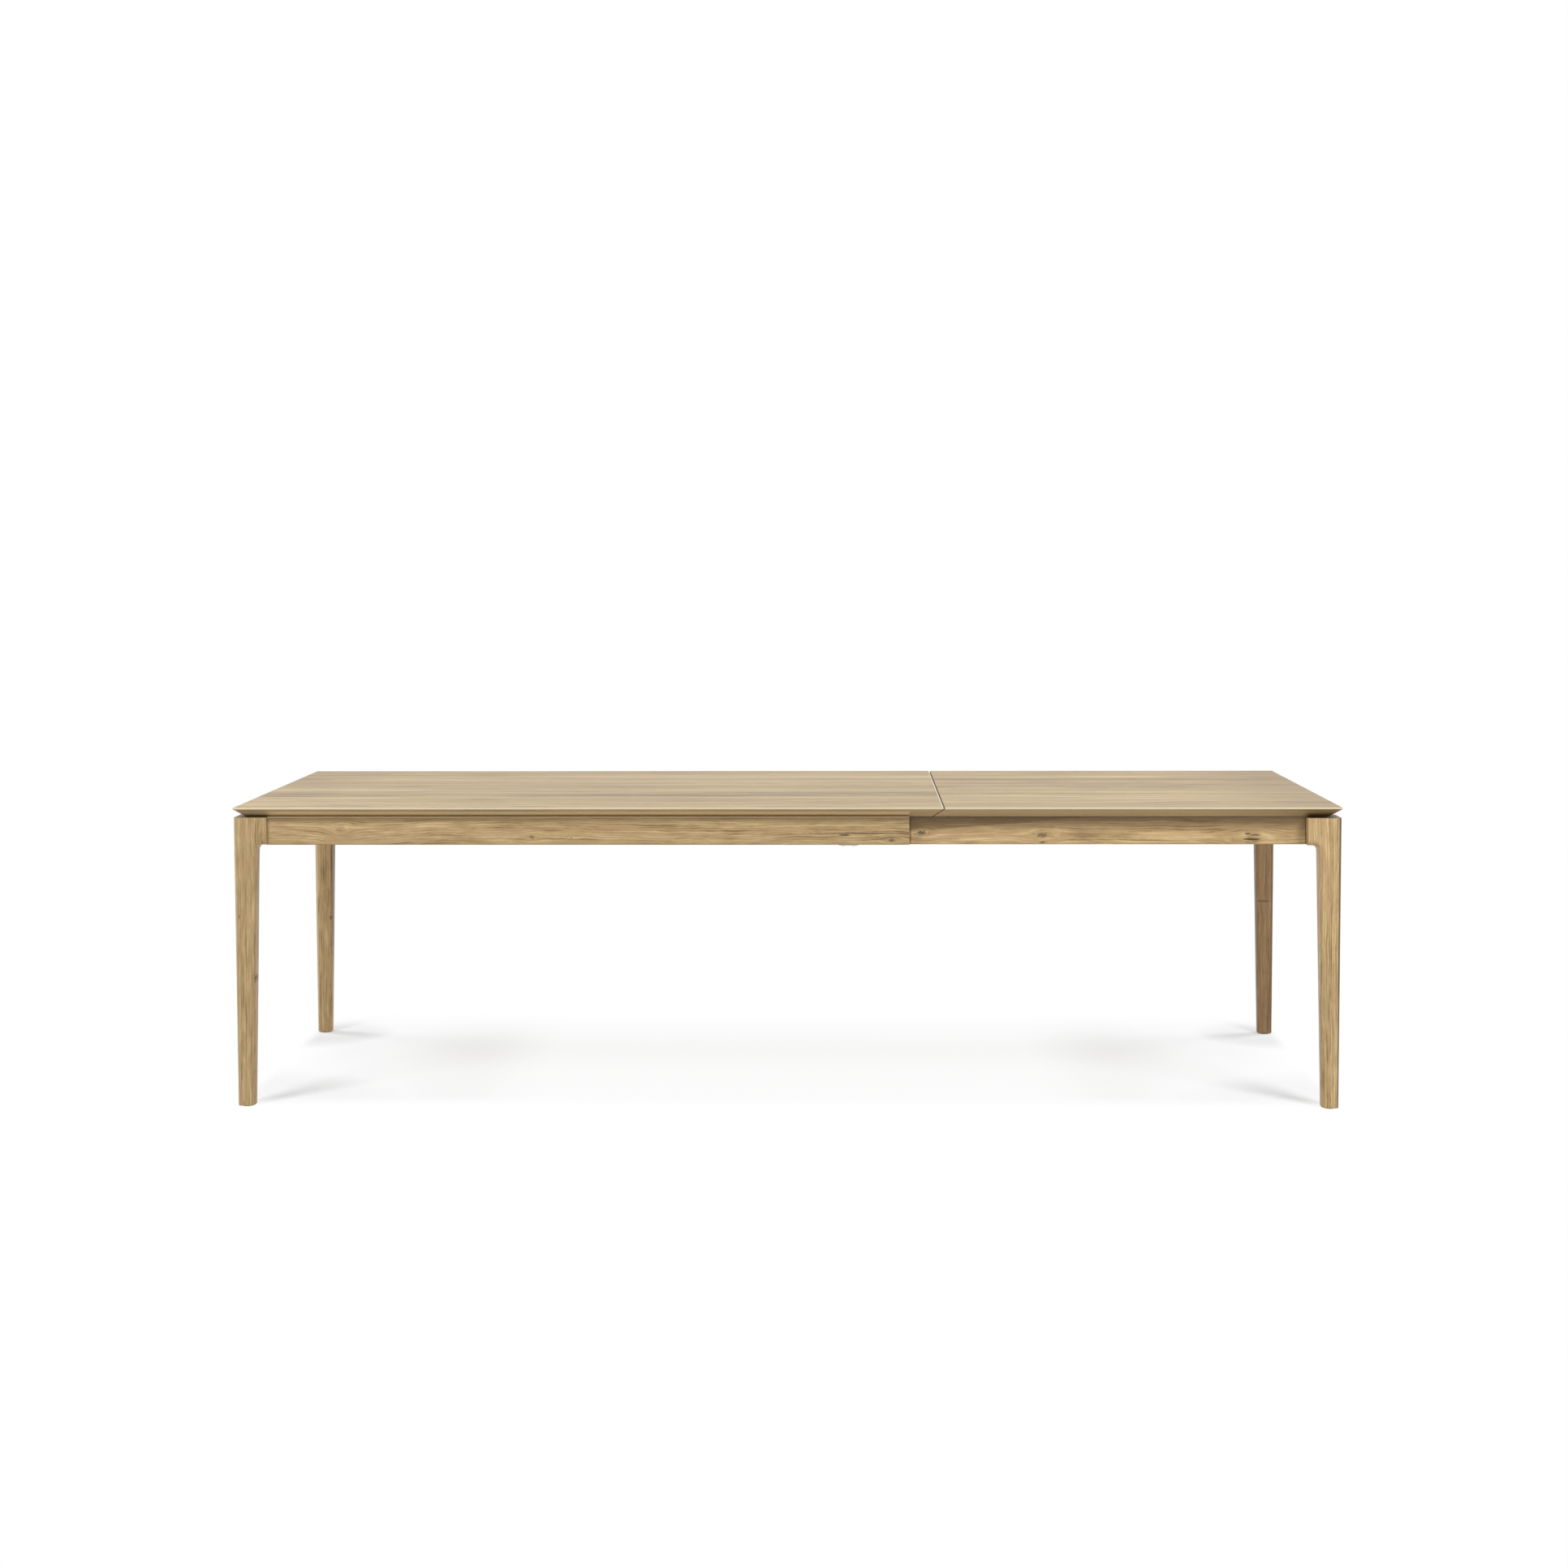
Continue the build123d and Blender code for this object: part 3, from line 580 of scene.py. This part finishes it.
def leg_painted_edges(leg, face, painted_strip_color, width, strength):
    """A painted strip down a leg's outer front corner, which leans inward to the foot, painted light where
    its colour is pale and painted shade where it is dark, and dark end grain on top, darkened further as
    painted shade in the gap under the panel.
    """
    leg_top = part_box(leg)[1][2]

    def paint(graph, axes, color):
        corner = graph.math("MULTIPLY_ADD", axes["Z"], LEG_LEAN, LEG_FOOT_REACH)
        inward = graph.math("SUBTRACT", corner, graph.math("ABSOLUTE", axes["X"]))
        front = graph.math("MULTIPLY_ADD", axes["Z"], face["lean"], face["foot"])
        behind = graph.math("SUBTRACT", axes["Y"], front)
        # Painted light on the left legs and painted shade on the right legs, along the outer front corner
        strip = graph.product(graph.span(inward, width, width * STRIP_CORE),
                              graph.span(behind, *STRIP_DEPTH))
        color = graph.blend(graph.product(strip, strength), color, painted_strip_color)
        # End grain on top, darkened further as painted shade in the gap under the panel
        end_grain_and_shade = graph.span(axes["Z"], *(leg_top - inset for inset in FACE_SKIN))
        return graph.blend(graph.product(end_grain_and_shade, END_GRAIN_AND_SHADE_SHARE), color, OAK_END_GRAIN_AND_SHADE)
    return paint


def mottled(graph, pattern, color, darkest, roughness, roughness_range):
    """Colour and roughness that follow a pattern."""
    tint = graph.blend(pattern, scaled(color, darkest), color)
    return tint, graph.math("MULTIPLY_ADD", pattern, roughness_range, roughness)


def metal(name, color, roughness, streak_axis):
    """Plated or drawn metal with fine lines along one axis."""
    graph = Graph(name)
    fine = 300.0
    drawn_out = 6.0
    place = graph.split(graph.place())
    stretched = [graph.product(place[axis], drawn_out if axis == streak_axis else fine) for axis in "XYZ"]
    lines = graph.noise(graph.join(*stretched), detail=3.0, roughness=0.6)
    tint, rough = mottled(graph, lines, color, darkest=0.82, roughness=roughness, roughness_range=0.18)
    return graph.surface(tint, rough, graph.bump(lines, strength=0.15, distance=0.0002), metallic=1.0)


def nylon(name, color):
    """Moulded nylon with a faint mottle."""
    graph = Graph(name)
    mottle = graph.noise(graph.place(), scale=240.0, detail=3.0, roughness=0.6)
    tint, rough = mottled(graph, mottle, color, darkest=0.9, roughness=0.42, roughness_range=0.12)
    return graph.surface(tint, rough, graph.bump(mottle, strength=0.1, distance=0.0002))


def felt(name, color):
    """Pressed felt: tangled fibres and a soft sheen."""
    graph = Graph(name)
    tangle = graph.noise(graph.place(), scale=900.0, detail=4.0, roughness=0.7, distortion=1.5)
    darkest = scaled(color, 0.6)
    palest = scaled(color, 1.3)
    tint = graph.blend(tangle, darkest, palest)
    fibres = graph.bump(tangle, strength=0.6, distance=0.0008)
    return graph.surface(tint, roughness=0.95, normal=fibres, sheen_weight=0.3)


# Marks that the photograph shows, in metres along and across each piece
SIDE_APRON_MARKS = (
    knot(-1.126, 0.708, 0.013, 0.008, 0.30, 0.9),
    knot(0.268, 0.677, 0.008, 0.0040, 0.75, 0.8),
    knot(-0.641, 0.685, 0.008, 0.0040, 0.60, 0.8),
    knot(-0.541, 0.683, 0.003, 0.0022, 0.70, 0.5),
    crack(0.040, 0.335, 0.6938, 0.0016, 0.80),
    crack(0.136, 0.167, 0.6897, 0.0022, 0.90),
    # Painted shade in the corner where the apron meets the front left leg's head
    knot(-1.3147, 0.7000, 0.0010, 0.0450, 0.45),
)
SLIDE_APRON_MARKS = (
    knot(0.345, 0.6926, 0.013, 0.0060, 0.85, 0.9),
    knot(0.650, 0.6864, 0.016, 0.0065, 0.70, 0.9),
    knot(0.650, 0.6680, 0.008, 0.0028, 0.80, 0.5),
    knot(1.168, 0.6895, 0.008, 0.0026, 0.85),
    crack(1.174, 1.200, 0.6868, 0.0022, 0.80),
    knot(1.179, 0.6800, 0.026, 0.0090, 0.0, 0.9),
    crack(1.156, 1.200, 0.6761, 0.0030, 0.95),
    # Painted shade in the corner where the apron meets the front right leg's head
    knot(1.3142, 0.7000, 0.0018, 0.0450, 0.85),
    # Painted shadow cast by the side apron's end onto this recessed apron
    knot(0.3168, 0.7000, 0.0026, 0.0500, 0.60),
    knot(0.757, 0.6900, 0.050, 0.0130, 0.16),
    knot(1.020, 0.7010, 0.110, 0.0040, 0.14),
)
SLIDE_APRON_PATCHES = (
    knot(0.686, 0.6960, 0.012, 0.0150, 0.28),
    knot(0.985, 0.6850, 0.100, 0.0120, 0.45),
    knot(0.520, 0.6760, 0.090, 0.0060, 0.35),
)
SLIDE_APRON_SLANT = {"slope": 0.0815, "level": 0.6985 - 0.0815 * 0.355, "strength": 0.38}
FRONT_LEFT_MARKS = (
    knot(0.326, -1.3465, 0.009, 0.0030, 0.75, 0.6),
    knot(0.482, -1.3844, 0.006, 0.0020, 0.60, 0.4),
    knot(0.693, -1.3290, 0.012, 0.0060, 0.20, 0.9),
)
BACK_LEFT_MARKS = (
    knot(0.338, -1.3487, 0.008, 0.0040, 0.75, 0.6),
    knot(0.315, -1.3440, 0.006, 0.0030, 0.60, 0.5),
    knot(0.610, -1.3620, 0.050, 0.0120, 0.20),
    knot(0.545, -1.3560, 0.030, 0.0090, 0.16),
    knot(0.470, -1.3640, 0.050, 0.0140, 0.26),
    knot(0.400, -1.3600, 0.035, 0.0120, 0.24),
    knot(0.350, -1.3680, 0.030, 0.0100, 0.18),
    # Painted shade down the leg's inner front corner
    knot(0.480, -1.3450, 0.300, 0.0040, 0.45),
)
# Darker over the leg's lower part
FRONT_RIGHT_MARKS = (knot(0.170, 1.3700, 0.200, 0.0600, 0.10),)
BACK_RIGHT_MARKS = (knot(0.387, 1.3636, 0.0030, 0.0180, 0.55),)
TOP_MARKS = (
    knot(-1.360, 0.235, 0.060, 0.0140, 0.30),
    knot(-1.214, 0.398, 0.050, 0.0140, 0.35),
    knot(-1.270, -0.153, 0.090, 0.0130, 0.30),
    knot(-1.272, -0.062, 0.070, 0.0130, 0.25),
    knot(-0.850, 0.130, 0.550, 0.0300, 0.14),
    knot(-0.365, -0.216, 0.300, 0.0100, 0.20),
    knot(0.200, -0.370, 0.280, 0.0300, 0.08),
)
TOP_PATCHES = (
    knot(-1.127, -0.264, 0.140, 0.0130, 0.45),
    knot(-1.290, -0.434, 0.140, 0.0120, 0.35),
    knot(-1.228, 0.229, 0.250, 0.0110, 0.35),
    knot(-1.200, -0.050, 0.260, 0.0250, 0.32),
    knot(-0.720, -0.135, 0.600, 0.0220, 0.35),
    knot(-0.050, 0.340, 0.700, 0.0700, 0.26),
)
LEAF_MARKS = (
    knot(0.810, 0.082, 0.220, 0.0120, 0.22),
    knot(0.766, -0.342, 0.120, 0.0120, 0.20),
    knot(1.320, 0.218, 0.130, 0.0120, 0.28),
    knot(1.250, -0.100, 0.200, 0.0110, 0.22),
    knot(0.900, -0.430, 0.700, 0.0600, 0.09),
    knot(1.210, -0.375, 0.360, 0.0320, 0.26),
)
LEAF_PATCHES = (
    knot(1.050, -0.280, 0.300, 0.0110, 0.30),
    knot(0.600, 0.300, 0.200, 0.0120, 0.30),
    knot(0.930, 0.315, 0.150, 0.0300, 0.45),
)

# Painted shade on the aprons under the overhang, as a darker band down from their top
SIDE_OVERHANG_SHADE = {"reach": 0.019, "strength": 0.85, "foot": APRON_LOW.z}
SLIDE_OVERHANG_SHADE = {"reach": 0.057, "strength": 0.72, "foot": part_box("slide_apron_front")[0][2]}

PANEL_OAK = {"tone": PANEL_TINT, "stave": STAVE_WIDTH, "contrast": PANEL_CONTRAST}
LOOKS = {
    "main_top": oak("oak_main_top", "X", "Y", seed=0.47, marks=TOP_MARKS, patches=TOP_PATCHES,
                    edges=panel_edges("pale"), **PANEL_OAK),
    "leaf_panel": oak("oak_leaf", "X", "Y", seed=0.61, marks=LEAF_MARKS, patches=LEAF_PATCHES,
                      edges=panel_edges("dark"), **PANEL_OAK),
    "side_apron_front": oak("oak_side_front", "X", "Z", seed=1.30, tone=1.03, marks=SIDE_APRON_MARKS,
                            overhang_shade=SIDE_OVERHANG_SHADE),
    "side_apron_back": oak("oak_side_back", "X", "Z", seed=2.10, overhang_shade=SIDE_OVERHANG_SHADE),
    "slide_apron_front": oak("oak_slide_front", "X", "Z", seed=3.40, tone=1.14, marks=SLIDE_APRON_MARKS,
                             patches=SLIDE_APRON_PATCHES, slant=SLIDE_APRON_SLANT, overhang_shade=SLIDE_OVERHANG_SHADE),
    "slide_apron_back": oak("oak_slide_back", "X", "Z", seed=4.20, tone=1.10, overhang_shade=SLIDE_OVERHANG_SHADE),
    "end_apron_left": oak("oak_end_left", "Y", "Z", seed=5.30, overhang_shade=SIDE_OVERHANG_SHADE),
    "end_apron_right": oak("oak_end_right", "Y", "Z", seed=6.10, overhang_shade=SIDE_OVERHANG_SHADE),
    "slide_cross_rail": oak("oak_cross_rail", "Y", "Z", seed=7.70),
    # Legs: painted light down the left legs' outer front corners, painted shade down the right legs'
    "leg_front_left": oak("oak_leg_front_left", "Z", "X", seed=8.20, marks=FRONT_LEFT_MARKS,
                          edges=leg_painted_edges("leg_front_left", FRONT_LEG_FACE, OAK_PAINTED_HIGHLIGHT,
                                          width=0.006, strength=0.30)),
    "leg_front_right": oak("oak_leg_front_right", "Z", "X", seed=9.10, tone=1.20, marks=FRONT_RIGHT_MARKS,
                           edges=leg_painted_edges("leg_front_right", FRONT_LEG_FACE, OAK_MARK_AND_SHADE,
                                           width=0.0070, strength=0.75)),
    "leg_back_left": oak("oak_leg_back_left", "Z", "X", seed=10.40, tone=1.16, marks=BACK_LEFT_MARKS,
                         edges=leg_painted_edges("leg_back_left", BACK_LEG_FACE, OAK_PAINTED_HIGHLIGHT,
                                         width=0.0100, strength=0.45)),
    "leg_back_right": oak("oak_leg_back_right", "Z", "X", seed=11.60, tone=BROWN_AND_SHADE_TINT,
                          marks=BACK_RIGHT_MARKS,
                          edges=leg_painted_edges("leg_back_right", BACK_LEG_FACE, OAK_MARK_AND_SHADE,
                                          width=0.0105, strength=0.65)),
}
STEEL = metal("zinc_plated_steel", (0.62, 0.62, 0.60), roughness=0.32, streak_axis="X")
SLOT_LOOKS = {
    "steel": STEEL,
    "aluminium": metal("drawn_aluminium", (0.74, 0.74, 0.75), roughness=0.34, streak_axis="X"),
    "nylon": nylon("white_nylon", (0.80, 0.80, 0.77)),
    "felt": felt("brown_felt", (0.30, 0.26, 0.22)),
    "oak_frame": oak("oak_brace", "X", "Y", seed=12.50),
}
slots = {part["node"]: part["material_slot"] for part in frame["record"]["subparts"]}
for name, node in frame["nodes"].items():
    node.data.materials.clear()
    node.data.materials.append(LOOKS.get(name) or SLOT_LOOKS[slots[name]])

# Screw heads: sides, then reach and drop of the head's rings, and drops of the hexagon socket's rings
SCREW_SIDES = 24
SCREW_HEAD = ((1.0, 0.0), (1.0, 0.55), (0.93, 0.85), (0.80, 1.0))
SCREW_SOCKET = (1.0, 0.35)
SOCKET_SHARE = 0.45
HEXAGON_SECTOR = math.tau / 6

# Places of the screws, in metres from the edges of the pieces they hold
KEEPER_FLANGE = 0.0025
KEEPER_INSET = 0.009
KEEPER_STEP = 0.013
CHANNEL_HALF = 0.015
CHANNEL_WEB = 0.002
CHANNEL_INSET = 0.05
TONGUE_HALF = 0.020
TONGUE_INSETS = (0.012, 0.045)


def socket_screws(name, body, spots, radius, height):
    """Screw heads with a hexagon socket, each looking down from its spot."""
    mesh = bmesh.new()
    turns = [math.tau * step / SCREW_SIDES for step in range(SCREW_SIDES)]

    sectors = [turn % HEXAGON_SECTOR - HEXAGON_SECTOR / 2 for turn in turns]
    hexagon = [radius * SOCKET_SHARE / math.cos(sector) for sector in sectors]

    def ring(spot, reaches, drop):
        made = []
        for turn, reach in zip(turns, reaches):
            corner = Vector((math.cos(turn) * reach, math.sin(turn) * reach, -height * drop))
            made.append(mesh.verts.new(Vector(spot) + corner))
        return made

    for spot in spots:
        rings = [ring(spot, [radius * reach] * SCREW_SIDES, drop) for reach, drop in SCREW_HEAD]
        rings += [ring(spot, hexagon, drop) for drop in SCREW_SOCKET]
        for upper, lower in zip(rings, rings[1:]):
            for step in range(SCREW_SIDES):
                following = (step + 1) % SCREW_SIDES
                mesh.faces.new((upper[step], upper[following], lower[following], lower[step]))
        mesh.faces.new(rings[-1])
        mesh.faces.new(list(reversed(rings[0])))
    bmesh.ops.recalc_face_normals(mesh, faces=mesh.faces)
    data = bpy.data.meshes.new(name)
    mesh.to_mesh(data)
    mesh.free()
    data.materials.append(STEEL)
    piece = bpy.data.objects.new(name, data)
    bpy.context.collection.objects.link(piece)
    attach(piece, body)


def keeper_spots():
    """Two screws in each keeper's flange."""
    spots = []
    for node, side in (("keeper_front", -1), ("keeper_back", 1)):
        low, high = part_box(node)
        middle = (low[0] + high[0]) / 2
        outer = max(abs(low[1]), abs(high[1]))
        for step in (-KEEPER_STEP, KEEPER_STEP):
            spots.append((middle + step, side * (outer - KEEPER_INSET), high[2] - KEEPER_FLANGE))
    return spots


def stiffener_spots(node, count):
    """Three screws in each of a panel's steel channels."""
    low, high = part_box(node)
    web = high[2] - CHANNEL_WEB
    first = low[0] + CHANNEL_HALF
    pitch = (high[0] - low[0] - 2 * CHANNEL_HALF) / (count - 1)
    spots = []
    for number in range(count):
        for y in (low[1] + CHANNEL_INSET, 0.0, high[1] - CHANNEL_INSET):
            spots.append((first + pitch * number, y, web))
    return spots


def tongue_spots():
    """Two screws in each of the leaf's tongues."""
    low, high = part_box("leaf_tongues")
    spots = []
    for side in (-1, 1):
        for inset in TONGUE_INSETS:
            spots.append((high[0] - inset, side * (high[1] - TONGUE_HALF), low[2]))
    return spots


socket_screws("keeper_screws", "main_frame", keeper_spots(), radius=0.0036, height=0.0020)
socket_screws("main_stiffener_screws", "main_frame", stiffener_spots("main_top_stiffeners", 3),
              radius=0.0045, height=0.0024)
socket_screws("leaf_stiffener_screws", "leaf", stiffener_spots("leaf_stiffeners", 2),
              radius=0.0045, height=0.0024)
socket_screws("tongue_screws", "leaf", tongue_spots(), radius=0.0045, height=0.0010)


def shadow_share(graph):
    """How much of the table's shadow shows: softly under it, fully at the feet, none further out."""
    place = graph.split(graph.place())
    reach = graph.math("ABSOLUTE", place["X"])
    share = graph.product(graph.span(reach, *SHADOW_END),
                          graph.span(reach, *SHADOW_RISE, SHADOW_MIDDLE, SHADOW_SIDE))
    inside = graph.span(reach, *FOOT_SHADOW_END)
    for foot in FOOT_SHADOWS:
        aside = graph.math("POWER", graph.math("SUBTRACT", reach, FOOT_MIDDLE), 2.0)
        behind = graph.math("POWER", graph.math("SUBTRACT", place["Y"], foot["y"]), 2.0)
        away = graph.math("SQRT", graph.math("ADD", aside, behind))
        share = graph.math("MAXIMUM", share, graph.product(graph.span(away, *foot["fade"]), inside))
    return graph.product(share, graph.span(place["Y"], *SHADOW_FRONT), graph.span(place["Y"], *SHADOW_BACK))


def make_floor():
    """Pale studio floor that shows the table's shadow softly and is white further out."""
    graph = Graph("studio_floor")
    path = graph.node("ShaderNodeLightPath")
    seen = graph.math("ADD", path.outputs["Is Camera Ray"], path.outputs["Is Glossy Ray"])
    seen = graph.math("ADD", seen, path.outputs["Is Transmission Ray"], clamp=True)
    bounce = graph.node("ShaderNodeBsdfDiffuse")
    bounce.inputs["Color"].default_value = (*FLOOR_BOUNCE, 1.0)
    shadow = graph.node("ShaderNodeBsdfDiffuse")
    shadow.inputs["Color"].default_value = (*FLOOR_SHADOW, 1.0)
    glow = graph.node("ShaderNodeEmission")
    glow.inputs["Strength"].default_value = FLOOR_GLOW
    lit = graph.node("ShaderNodeAddShader")
    graph.feed(lit.inputs[0], shadow.outputs[0])
    graph.feed(lit.inputs[1], glow.outputs[0])
    white = graph.node("ShaderNodeEmission")
    ground = graph.node("ShaderNodeMixShader")
    graph.feed(ground.inputs[0], shadow_share(graph))
    graph.feed(ground.inputs[1], white.outputs[0])
    graph.feed(ground.inputs[2], lit.outputs[0])
    pick = graph.node("ShaderNodeMixShader")
    graph.feed(pick.inputs[0], seen)
    graph.feed(pick.inputs[1], bounce.outputs[0])
    graph.feed(pick.inputs[2], ground.outputs[0])
    graph.feed(graph.output.inputs[0], pick.outputs[0])

    signs = ((-1, -1), (1, -1), (1, 1), (-1, 1))
    data = bpy.data.meshes.new("floor")
    data.from_pydata([(FLOOR_HALF * x, FLOOR_HALF * y, 0) for x, y in signs], [], [(0, 1, 2, 3)])
    data.materials.append(graph.material)
    floor = bpy.data.objects.new("floor", data)
    bpy.context.collection.objects.link(floor)


def make_world():
    """Even white surroundings, seen white and shining less brightly."""
    world = bpy.data.worlds.new("studio")
    world.use_nodes = True
    nodes = world.node_tree.nodes
    links = world.node_tree.links
    background = nodes["Background"]
    background.inputs["Color"].default_value = (1.0, 1.0, 1.0, 1.0)
    path = nodes.new("ShaderNodeLightPath")
    seen = path.outputs["Is Camera Ray"]
    for kind in ("Is Glossy Ray", "Is Transmission Ray"):
        either = nodes.new("ShaderNodeMath")
        either.operation = "MAXIMUM"
        links.new(seen, either.inputs[0])
        links.new(path.outputs[kind], either.inputs[1])
        seen = either.outputs[0]
    level = nodes.new("ShaderNodeMapRange")
    links.new(seen, level.inputs["Value"])
    level.inputs["To Min"].default_value = WORLD_LIGHT
    level.inputs["To Max"].default_value = 1.0
    links.new(level.outputs[0], background.inputs["Strength"])
    bpy.context.scene.world = world


def soft_box(name, place, side, power):
    """Soft square lamp that looks at the table."""
    data = bpy.data.lights.new(name, "AREA")
    data.shape = "SQUARE"
    data.size = side
    data.energy = power
    lamp = bpy.data.objects.new(name, data)
    lamp.location = place
    lamp.rotation_euler = (Vector(LAMP_TARGET) - Vector(place)).to_track_quat("-Z", "Y").to_euler()
    bpy.context.collection.objects.link(lamp)


def make_camera():
    """Camera at the photograph's place, with its lens shift."""
    data = bpy.data.cameras.new("camera")
    data.sensor_fit = "HORIZONTAL"
    data.sensor_width = SENSOR_WIDTH
    data.lens = FOCAL_PIXELS / IMAGE_SIDE * SENSOR_WIDTH
    data.shift_y = PRINCIPAL_SHIFT_PIXELS / IMAGE_SIDE
    data.clip_end = VIEW_DEPTH
    camera = bpy.data.objects.new("camera", data)
    yaw = Matrix.Rotation(CAMERA_YAW, 4, "Z")
    tilt = Matrix.Rotation(math.pi / 2 - CAMERA_TILT, 4, "X")
    roll = Matrix.Rotation(CAMERA_ROLL, 4, "Z")
    camera.matrix_world = Matrix.Translation(CAMERA_PLACE) @ yaw @ tilt @ roll
    bpy.context.collection.objects.link(camera)
    bpy.context.scene.camera = camera


make_floor()
make_world()
for lamp in LAMPS:
    soft_box(**lamp)
make_camera()
bpy.context.scene.view_settings.view_transform = "Standard"
